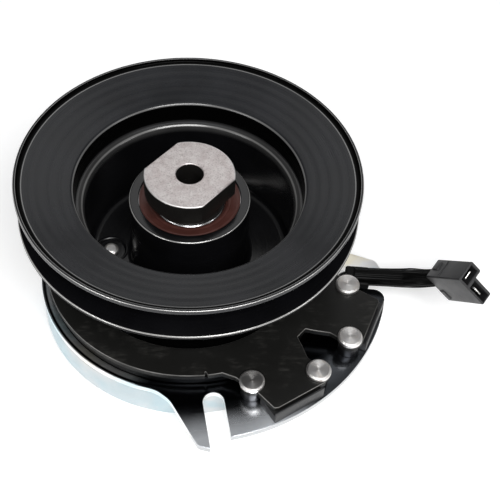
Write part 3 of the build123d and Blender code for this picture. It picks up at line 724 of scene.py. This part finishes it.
def cone_waves(start, end, count, height):
    """A straight line between two (radius, height) points with the shallow waves that spinning leaves."""
    steps = 56
    points = []
    for i in range(1, steps):
        t = i / steps
        fade = math.sin(math.pi * t) ** 0.5
        uneven = 0.4 + 0.6 * math.sin(4.4 * t + 0.8) ** 2
        wave = height * fade * math.sin(2 * math.pi * count * t) * uneven
        points.append((start[0] + (end[0] - start[0]) * t, start[1] + (end[1] - start[1]) * t + wave, 0))
    return points


def make_flanges():
    """The belt groove's two flanges. The upper one's cone leads in from its rim to a neck in the cup."""
    lip_foot, cone_foot = (CONE_TOP_R, CONE_TOP_Z), (CONE_FOOT_R, CONE_FOOT_Z)
    foot_round, foot_z = 2.2, 78.11
    groove_z0, groove_z1 = 76.5, 78.6
    upper = [(PULLEY_R, PULLEY_TOP - 2.2, 0.5), (PULLEY_R, PULLEY_TOP, 0.6), (RIM_IN_R, PULLEY_TOP, 0.3),
             (RIM_IN_R - 0.3, 85.9, 0.9), (*lip_foot, 0.6), *cone_waves(lip_foot, cone_foot, 4.5, 0.03),
             *plain(arc((NECK_R + foot_round, foot_z), foot_round, 105, 180, 10)), (NECK_R, LEDGE_Z, 0),
             (GROOVE_R, LEDGE_Z, 0), (GROOVE_R, groove_z1, 0.8)]
    settle(lathe("upper_flange_spun", upper, 320), "pulley_black", "upper_flange")

    lower = [(GROOVE_R, groove_z0, 0.0), (PULLEY_R, LOWER_RIM_Z1, 0.7), (PULLEY_R, LOWER_RIM_Z0, 0.7),
             (SKIRT_R + 1.4, 73.1, 1.2), (SKIRT_R, 71.6, 1.0), (SKIRT_R, SKIRT_Z, 0.4),
             (GROOVE_R, SKIRT_Z, 0.0)]
    # The lower flange takes a near-black dull copy of the black as painted shade in the groove.
    settle(lathe("lower_flange_spun", lower, 320), "pulley_black", "lower_flange", finish="groove_shaded_black")


def make_cup():
    """The cup with the sleeve for its bearing, and a recess with a rolled rim round each web rivet."""
    fold, fold_z, stop_r, stop_z = 3.8, 66.4, 23.4, 47.2
    seat_r, lip_r = BEARING_OUT_R, SEAL_OUT_R + 0.15
    sleeve = [(SLEEVE_R, WEB_Z1, 2.4), (SLEEVE_R, SLEEVE_TOP, 0.8), (lip_r, SLEEVE_TOP, 0.35),
              (lip_r, BEARING_Z1, 0.1), (seat_r, BEARING_Z1, 0), (seat_r, BEARING_Z0, 0),
              (stop_r, BEARING_Z0, 0.3), (stop_r, stop_z, 0.3), (seat_r, stop_z, 0.3),
              (seat_r, WEB_Z0, 1.0)]
    wall = [(CUP_OUT_R, WEB_Z0, 3.0), (CUP_OUT_R, SKIRT_Z, 0.4), (GROOVE_R, SKIRT_Z, 0),
            (GROOVE_R, LEDGE_Z, 0), (NECK_R, LEDGE_Z, 0),
            *plain(arc((CUP_R + fold, fold_z), fold, 90, 180, 14)), (CUP_R, WEB_Z1, 3.2)]
    cup = lathe("pulley_cup_drawn", sleeve + wall, 288)
    places = [at(LEAF_WEB_R, angle) for angle in LEAF_ANGLES]
    past_web = WEB_Z1 + 1.0
    recess = [(0.0, DIMPLE_Z, 0), (DIMPLE_R, DIMPLE_Z, 0), (DIMPLE_R, past_web, 0), (0.0, past_web, 0)]
    for place in places:
        combine(cup, lathe("recess", recess, 96, [place]), "DIFFERENCE")
    # The cup takes a darker copy of the black as painted shade.
    settle(cup, "pulley_black", "pulley_cup", finish="cup_shaded_black")

    rim = [(DIMPLE_R - 0.9, 33.05, 0), (DIMPLE_R + 0.1, 33.05, 0), (DIMPLE_R + 0.1, 33.9, 0),
           (DIMPLE_R + 1.3, 33.9, 0), (DIMPLE_R + 1.0, 34.1, 0.3), (DIMPLE_R + 0.2, 34.45, 0.6),
           (DIMPLE_R - 0.3, 34.1, 0.5)]
    rims = lathe("web_dimple_rims", rim, 96, places)
    settle(rims, "pulley_black", body="pulley", finish="cup_shaded_black")

    head_r, shank_r, foot_r, foot_z0, foot_z1 = 3.5, 2.55, 4.4, 23.8, 25.38
    rivet = [(0.0, 35.5, 0), (2.2, 35.4, 0.9), (head_r, 34.6, 0.5), (head_r, DIMPLE_Z, 0),
             (shank_r, DIMPLE_Z, 0), (shank_r, foot_z1, 0), (foot_r, foot_z1, 0), (foot_r, foot_z0, 0.5),
             (0.0, foot_z0, 0)]
    settle(lathe("web_rivet_heads", rivet, 64, places), "rivet_steel", "web_rivets")


def make_pulley_bearing():
    """The rings' tracks and balls stay the CAD's: these are the parts of it that show."""
    inner, outer = SEAL_IN_R, SEAL_OUT_R
    upper = [(inner, 67.9, 0.1), (inner, 68.5, 0.15), (16.9, 68.7, 0.2), (17.2, 69.1, 0.2),
             (17.8, 69.1, 0.2), (18.3, 69.0, 0.2), (21.6, 69.75, 0.3), (22.0, 69.6, 0.15),
             (outer, 69.85, 0.1), (outer, 68.9, 0.1), (19.8, 68.6, 0.2), (17.8, 68.0, 0.2)]
    lower = [(inner, 49.2, 0.1), (outer, 49.2, 0.1), (outer, 49.9, 0.1), (inner, 49.9, 0.1)]
    seals = join("bearing_seal_lips", [lathe("seal_high", upper), lathe("seal_low", lower)])
    settle(seals, "seal_rubber", "pulley_bearing_seals")


# ---- end cap ------------------------------------------------------------------------------

def make_end_cap():
    """A disc with two flats and a bolt hole, and the boss under it."""
    reach = math.degrees(math.acos(CAP_FLAT / CAP_R))
    first = arc((0, 0), CAP_R, BRAKE_ANGLE + reach, BRAKE_ANGLE + 180 - reach, 64)
    second = arc((0, 0), CAP_R, BRAKE_ANGLE + 180 + reach, BRAKE_ANGLE + 360 - reach, 64)
    disc = plate("cap_disc", [first + second, circle(BOLT_HOLE_R, count=96)], CAP_Z0, CAP_Z1, 0.55, 4)
    boss_foot, boss_top = 68.6, CAP_Z0 + 0.1
    boss = [(BOLT_HOLE_R, boss_foot, 0), (CAP_BOSS_R, boss_foot, 0.4), (CAP_BOSS_R, boss_top, 0),
            (BOLT_HOLE_R, boss_top, 0)]
    cap = join("end_cap_sintered", [disc, lathe("cap_boss", boss, 160)])
    settle(cap, "sintered_steel", "end_cap")


# ---- brake --------------------------------------------------------------------------------

def beside(angle, along, across):
    """The plan point at distances along a direction and across it to its left."""
    x, y = at(along, angle)
    dx, dy = at(across, angle + 90)
    return x + dx, y + dy


def brake_spots():
    """The four brake rivets' places."""
    return [beside(BRAKE_ANGLE, along, side * across)
            for side in (-1, 1) for along, across in BRAKE_RIVETS]


def make_brake_plate():
    ring_rivet, tip_rivet = BRAKE_RIVETS
    lobe = [(67.64, 2.94, 0.8), (71.5, 4.9, 1.5), (77.6, 8.6, 1.5),
            *plain(arc(tip_rivet, BUMP_R, 212, 367, 20)), (91.7, 14.1, 1.2), (84.3, 37.6, 1.3),
            (83.0, 39.0, 1.2), *plain(arc(ring_rivet, BUMP_R, 24, 152, 20)), (60.5, 38.0, 4.0)]
    meets_ring, nick_at, nick_width = 36.3, 317.7, 0.45
    nick_in_r = BRAKE_OUT_R - 1.7
    nick = [(*at(radius, nick_at + turn), 0.3) for radius, turn in
            ((BRAKE_OUT_R, -nick_width), (nick_in_r, -nick_width), (nick_in_r, 0),
             (BRAKE_OUT_R, nick_width))]
    ring = plain(arc((0, 0), BRAKE_OUT_R, meets_ring, nick_at - 1, 220)) + nick
    ring += plain(arc((0, 0), BRAKE_OUT_R, nick_at + 1, 360 - meets_ring, 6))
    mirrored = [(along, -across, radius) for along, across, radius in reversed(lobe)]
    outline = [(*beside(BRAKE_ANGLE, x, y), radius) for x, y, radius in lobe + ring + mirrored]
    loops = [rounded(outline), circle(BRAKE_IN_R, count=256)]
    stamped = plate("brake_plate_stamped", loops, BRAKE_Z0, BRAKE_Z1, 0.55, 4)
    settle(stamped, "brake_black", "brake_plate")


def make_magnet_housings():
    """A moulded block under each lobe's front edge, with a thin wall before it and room for a rivet."""
    along, across, splay = 83.5, 26.6, 17.5
    depth, half_length, lip, room_r = 6.0, 12.95, 0.85, 4.85
    z0, z1, lip_top = PLATE_TOP, 25.25, 27.6
    section = [(z0, -depth), (z0, depth), (lip_top, depth), (lip_top, depth - lip), (z1, depth - lip),
               (z1, -depth)]
    room = [(0.0, 20.0, 0), (room_r, 20.0, 0), (room_r, 28.0, 0), (0.0, 28.0, 0)]
    tip_along, tip_across = BRAKE_RIVETS[1]
    stand = Matrix(((0, 1, 0, 0), (0, 0, 1, 0), (-1, 0, 0, 0), (0, 0, 0, 1)))
    housings = []
    for side in (-1, 1):
        housing = bar("housing", [(-z, x) for z, x in section], -half_length, half_length, 0.28)
        centre = beside(BRAKE_ANGLE, along, side * across)
        turn = Matrix.Rotation(math.radians(BRAKE_ANGLE + side * splay), 4, "Z")
        put(housing, Matrix.Translation((*centre, 0.0)) @ turn @ stand)
        spot = beside(BRAKE_ANGLE, tip_along, side * tip_across)
        housings.append(combine(housing, lathe("room", room, 64, [spot]), "DIFFERENCE"))
    settle(join("magnet_housings_moulded", housings), "black_plastic", "magnet_housings")


def make_brake_rivets():
    shank_r, foot_r, sleeve_r = 2.95, 4.4, 4.75
    rivet = [(0.0, 30.78, 0), (0.9, 30.75, 0.1), (4.7, 30.9, 0.25), (RIVET_HEAD_R, 30.3, 0.35),
             (RIVET_HEAD_R, 28.9, 0.15), (RIVET_HEAD_R - 0.25, BRAKE_Z1, 0), (shank_r, BRAKE_Z1, 0),
             (shank_r, FIELD_TOP, 0), (foot_r, FIELD_TOP, 0.1), (foot_r, 15.9, 0.5), (0.0, 15.6, 0)]
    settle(lathe("brake_rivet_heads", rivet, 96, brake_spots()), "rivet_steel", "brake_rivets")
    sleeve = [(shank_r + 0.05, PLATE_TOP, 0), (sleeve_r, PLATE_TOP, 0.3), (sleeve_r, BRAKE_Z0, 0.3),
              (shank_r + 0.05, BRAKE_Z0, 0)]
    sleeves = lathe("brake_spacer_sleeves", sleeve, 80, brake_spots())
    settle(sleeves, "zinc", "brake_spacers", finish="spacer_steel")


# ---- field and mounting plate -------------------------------------------------------------

def slot_outline(angle, first_reach, last_reach, first_round=0.5):
    """In along an open slot's side, round its root and out along its other side."""
    root = arc(at(SLOT_ROOT_R, angle), SLOT_HALF, angle - 90, angle - 270, 20)
    first, last = beside(angle, first_reach, -SLOT_HALF), beside(angle, last_reach, SLOT_HALF)
    return [(*first, first_round), *plain(root), (*last, 0.5)]


def make_mounting_plate():
    """A ring on the cup's rim with one broad sector between two horns."""
    ring = plain(arc((0, 0), FIELD_R, 12.9, 251.0, 240))
    front_horn = [(*at(FIELD_R + 0.1, 257.6), 14.0), (-9.2, -74.6, 14.0), (-0.6, -90.9, 3.0),
                  (3.2, -97.6, 2.5)]
    sector = plain(arc((0, 0), PLATE_ARC_R, -78.7, -16.0, 90))
    rear_horn = [(93.6, -2.6, 2.4), (90.9, 3.6, 2.5), (79.9, 8.1, 1.0), (74.3, 10.9, 2.0)]
    outline = ring + front_horn + slot_outline(SLOT_ANGLE, 99.3, 95.3)
    outline += sector + slot_outline(LEAD_SLOT_ANGLE, 94.9, 93.8, 5.5) + rear_horn
    loops = [rounded(outline), circle(FIELD_WALL_R, count=256)]
    stamped = plate("mounting_plate_stamped", loops, FIELD_TOP, PLATE_TOP, 0.3)
    settle(stamped, "zinc", "mounting_plate", finish="plate_zinc")


def make_field_shell():
    bore_r, seat_r, pole_r = 29.0, 31.0, 36.0
    seat_z, floor_z, pole_top, top = 1.0, 4.0, 16.2, FIELD_TOP - 0.05
    shell = [(bore_r, 0.0, 0.3), (FIELD_R, 0.0, 3.5), (FIELD_R, top, 0.25), (FIELD_WALL_R, top, 0.2),
             (FIELD_WALL_R, floor_z, 0), (pole_r, floor_z, 0), (pole_r, pole_top, 0.3),
             (seat_r, pole_top, 0.3), (seat_r, seat_z, 0.1), (bore_r, seat_z, 0.1)]
    settle(lathe("field_shell_drawn", shell, 320), "zinc", "field_shell")


# ---- lead and connector -------------------------------------------------------------------

def smooth_line(route, count):
    """Points along a NURBS spline whose control points are the route."""
    curve = bpy.data.curves.new("line", "CURVE")
    curve.dimensions, curve.resolution_u = "3D", count
    spline = curve.splines.new("NURBS")
    spline.points.add(len(route) - 1)
    for point, place in zip(spline.points, route):
        point.co = (*place, 1.0)
    spline.order_u = 3
    spline.use_endpoint_u = True
    holder = bpy.data.objects.new("line", curve)
    mesh = bpy.data.meshes.new_from_object(holder)
    points = [v.co.copy() for v in mesh.vertices]
    bpy.data.objects.remove(holder)
    return points


def make_lead():
    """A soft vinyl sleeve over two wires: it creases lengthwise and flattens toward the connector."""
    points = smooth_line(LEAD_ROUTE, 24)
    around, wires_turn = 96, math.radians(CONNECTOR_ROLL)
    work = bmesh.new()
    rings = []
    for i, point in enumerate(points):
        t = i / (len(points) - 1)
        ahead = (points[min(i + 1, len(points) - 1)] - points[max(i - 1, 0)]).normalized()
        side = ahead.cross(Vector((0, 0, 1))).normalized()
        up = side.cross(ahead)
        flatten = 0.05 + 0.07 * t * t
        swell = 0.955 + 0.11 * math.sin(math.pi * t)
        loop = []
        for k in range(around):
            turn = 2 * math.pi * k / around
            crease = 0.055 * math.sin(5 * turn + 2.2 * t) * math.sin(math.pi * min(1.0, 1.6 * t))
            crease += 0.030 * math.sin(11 * turn - 3.1 * t + 1.0) + 0.018 * math.sin(17 * turn + 6.0 * t)
            across_wires = math.cos(2 * (turn - wires_turn))
            groove = 0.10 * t * max(0.0, across_wires) ** 6
            radius = LEAD_R * (swell + flatten * across_wires + crease - groove)
            loop.append(work.verts.new(point + radius * (math.cos(turn) * side + math.sin(turn) * up)))
        rings.append(loop)
    for low, high in zip(rings, rings[1:]):
        for k in range(around):
            j = (k + 1) % around
            work.faces.new([low[k], low[j], high[j], high[k]])
    for loop in (rings[0], rings[-1]):
        work.faces.new(loop)
    settle(finish_mesh("lead_sleeve_creased", work, 50.0), "sleeve_vinyl", "lead_sleeve")


def make_grommet():
    """Moulded rubber in the plate's slot: a neck, wider shoulders on the plate and a foot on the cup."""
    inner, outer, top, shoulder, bottom = 75.2, 86.6, 24.6, PLATE_TOP + 0.05, 8.0
    middle, length, neck_width, neck_top = (inner + outer) / 2, outer - inner, 9.1, shoulder + 1.5
    work = bmesh.new()
    high = Matrix.Translation((middle, 0, (top + shoulder) / 2))
    block(work, (length, 11.2, top - shoulder), high, 1.1, 4)
    grommet = finish_mesh("grommet_moulded", work)
    for size, place in (((length, neck_width, neck_top - bottom), (middle, 0, (neck_top + bottom) / 2)),
                        ((6.0, neck_width, 8.0), (74.1, 0, bottom + 4.0))):
        work = bmesh.new()
        block(work, size, Matrix.Translation(place), 0.6, 3)
        combine(grommet, finish_mesh("part", work), "UNION")
    put(grommet, Matrix.Rotation(math.radians(LEAD_SLOT_ANGLE), 4, "Z"))
    settle(grommet, "black_plastic", "lead_grommet", finish="grommet_rubber")


def connector_place():
    """The connector's frame: X out of its mouth, Z up its tall side, origin at its rear centre."""
    turns = [Matrix.Rotation(math.radians(angle), 4, axis) for angle, axis in
             ((CONNECTOR_AZIMUTH, "Z"), (-CONNECTOR_RISE, "Y"), (CONNECTOR_ROLL, "X"))]
    return Matrix.Translation(LEAD_ROUTE[-1]) @ turns[0] @ turns[1] @ turns[2]


def cell_cutter(y, z, width, height, deep_x):
    """The hollow of one cell, its mouth flared a little."""
    flare, past = 0.35, 0.5
    stations = ((deep_x, 0.0), (CONNECTOR_LENGTH - flare, 0.0), (CONNECTOR_LENGTH + past, flare + past))
    work = bmesh.new()
    rings = []
    for x, grow in stations:
        half_y, half_z = width / 2 + grow, height / 2 + grow
        rings.append([work.verts.new((x, y + sy * half_y, z + sz * half_z))
                      for sy, sz in ((-1, -1), (1, -1), (1, 1), (-1, 1))])
    for low, high in zip(rings, rings[1:]):
        for k in range(4):
            work.faces.new([low[k], low[(k + 1) % 4], high[(k + 1) % 4], high[k]])
    work.faces.new(rings[0])
    work.faces.new(rings[-1])
    return finish_mesh("cell", work)


def make_connector():
    """An L-shaped housing with a latch and two cells, and a blade in each: one lying, one upright."""
    arm, wall, deep_x = CONNECTOR_ARM, 1.25, 7.4
    right, left, top, low = CONNECTOR_WIDTH / 2, -CONNECTOR_WIDTH / 2, arm, arm - CONNECTOR_HEIGHT
    section = [(left, low, 0.8), (left + arm, low, 0.8), (left + arm, 0.0, 0.3), (right, 0.0, 0.8),
               (right, top, 0.8), (left, top, 0.8)]
    lie = Matrix(((0, 0, 1, 0), (1, 0, 0, 0), (0, 1, 0, 0), (0, 0, 0, 1)))
    shell = plate("connector_shell", [rounded(section, 4)], 0.0, CONNECTOR_LENGTH, 0.3)
    put(shell, lie)
    cells = (((0.0, arm / 2), (CONNECTOR_WIDTH - 2 * wall, arm - 2 * wall)),
             ((left + arm / 2, low / 2), (arm - 2 * wall, -low - wall)))
    for (y, z), (width, height) in cells:
        combine(shell, cell_cutter(y, z, width, height, deep_x), "DIFFERENCE")
    work = bmesh.new()
    latch, rib, key = (4.6, 5.0, 1.5), (1.3, CONNECTOR_WIDTH - 1.8, 0.6), (3.2, 0.9, 6.0)
    block(work, latch, Matrix.Translation((3.2, 1.2, top - 0.15)), 0.7, 4)
    block(work, rib, Matrix.Translation((8.6, 0, top)), 0.25, 2)
    block(work, key, Matrix.Translation((2.4, left, low + 5.0)), 0.4, 3)
    housing = join("connector_moulded", [shell, finish_mesh("latch", work)])
    put(housing, connector_place())
    settle(housing, "black_plastic", "connector_housing")

    start, end, half, tip, thick = 5.5, 23.9, 3.175, 1.1, 0.8
    outline = [(start, -half, 0.2), (end - tip, -half, 0.5), (end, -half + tip, 0.4),
               (end, half - tip, 0.4), (end - tip, half, 0.5), (start, half, 0.2)]
    loops = [rounded(outline), circle(0.9, (end - 4.5, 0.0), 32)]
    blades = []
    for i, ((y, z), _) in enumerate(cells):
        blade = plate("blade", loops, -thick / 2, thick / 2, 0.12, 2)
        upright = Matrix.Rotation(math.radians(90.0 * i), 4, "X")
        blades.append(put(blade, connector_place() @ Matrix.Translation((0, y, z)) @ upright))
    settle(join("connector_blades", blades), "terminal_tin", "connector_terminals")


# ---- everything in its material and place -------------------------------------------------

def paint_cad_nodes():
    """Every CAD node that still shows takes the material of its slot."""
    slots = {part["node"]: part["material_slot"] for part in frame["record"]["subparts"]}
    for name, node in frame["nodes"].items():
        node.data.materials.clear()
        node.data.materials.append(MATERIALS[slots[name]])


# Pale bare-steel rings (radius, height, reach, strength): real wear on the rim's top edges and the lower
# flange's rims, painted highlight at the cone's foot, the neck's edge, the sleeve's top and round the
# ledge.
UPPER_WEAR_AND_HIGHLIGHTS = ((PULLEY_R, PULLEY_TOP, 0.39, 1.0), (RIM_IN_R + 0.05, PULLEY_TOP, 0.22, 0.5),
              (CONE_TOP_R - 0.3, CONE_TOP_Z - 0.05, 0.25, 0.24), (NECK_R + 0.5, 79.5, 0.55, 0.20))
# Walls (inner radius, outer radius) painted black and dull as painted shade: the lip's inner wall and the
# neck.
UPPER_SHADED_WALLS = ((CONE_TOP_R + 0.2, RIM_IN_R), (NECK_R - 0.8, NECK_R + 0.15))
CUP_WEAR_AND_HIGHLIGHTS = ((SLEEVE_R, SLEEVE_TOP, 0.5, 0.9), (CUP_R + 1.8, LEDGE_Z - 0.7, 3.2, 0.030),
            (CUP_R + 1.1, LEDGE_Z, 0.6, 0.22))
LOWER_WEAR = ((PULLEY_R, LOWER_RIM_Z1, 0.50, 0.7), (PULLEY_R, LOWER_RIM_Z0 + 0.2, 0.36, 0.9))

MATERIALS = {
    "pulley_black": black_coat("pulley_black", (0.0085, 0.009, 0.0105), 0.26, 0.38, UPPER_WEAR_AND_HIGHLIGHTS, UPPER_SHADED_WALLS),
    # Darker copies of the pulley's black as painted shade: a glossier one for the cup, a near-black dull
    # one for the groove.
    "cup_shaded_black": black_coat("cup_shaded_black", (0.003, 0.003, 0.0035), 0.22, 0.5, CUP_WEAR_AND_HIGHLIGHTS),
    "groove_shaded_black": black_coat("groove_shaded_black", (0.002, 0.002, 0.0025), 0.30, 0.05, LOWER_WEAR),
    "brake_black": black_oxide(),
    "zinc": zinc(),
    "plate_zinc": plate_zinc(),
    "spacer_steel": ground_steel("spacer_steel", (0.10, 0.10, 0.105), 0.34),
    "rivet_steel": turned_steel("rivet_steel", brake_spots()),
    "sintered_steel": sintered_steel(),
    "bearing_steel": ground_steel("bearing_steel", (0.55, 0.55, 0.56), 0.22),
    "seal_rubber": moulded("seal_rubber", (0.048, 0.0155, 0.012), 0.40, 0.015),
    "cage_steel": ground_steel("cage_steel", (0.42, 0.42, 0.42), 0.35),
    "rotor_steel": ground_steel("rotor_steel", (0.030, 0.030, 0.032), 0.38),
    "armature_steel": ground_steel("armature_steel", (0.015, 0.015, 0.015), 0.42),
    "spring_steel": ground_steel("spring_steel", (0.26, 0.27, 0.32), 0.32),
    "lining": friction_material(),
    "copper": wound_copper(),
    "bobbin_plastic": moulded("bobbin_plastic", (0.62, 0.58, 0.48), 0.45),
    "potting": moulded("potting", (0.035, 0.03, 0.03), 0.22, 0.04, scale=260.0),
    "magnet": moulded("magnet", (0.05, 0.05, 0.053), 0.55, 0.03),
    "black_plastic": moulded("black_plastic", (0.017, 0.017, 0.018), 0.42, 0.025),
    "grommet_rubber": moulded("grommet_rubber", (0.004, 0.004, 0.004), 0.50, 0.03, gloss=0.12),
    "sleeve_vinyl": moulded("sleeve_vinyl", (0.002, 0.002, 0.002), 0.30, 0.03, gloss=0.06),
    "terminal_tin": ground_steel("terminal_tin", (0.82, 0.81, 0.78), 0.2),
}

make_camera()
make_light()
paint_cad_nodes()
make_flanges()
make_cup()
make_pulley_bearing()
make_end_cap()
make_brake_plate()
make_brake_rivets()
make_magnet_housings()
make_mounting_plate()
make_field_shell()
make_lead()
make_grommet()
make_connector()
make_floor()
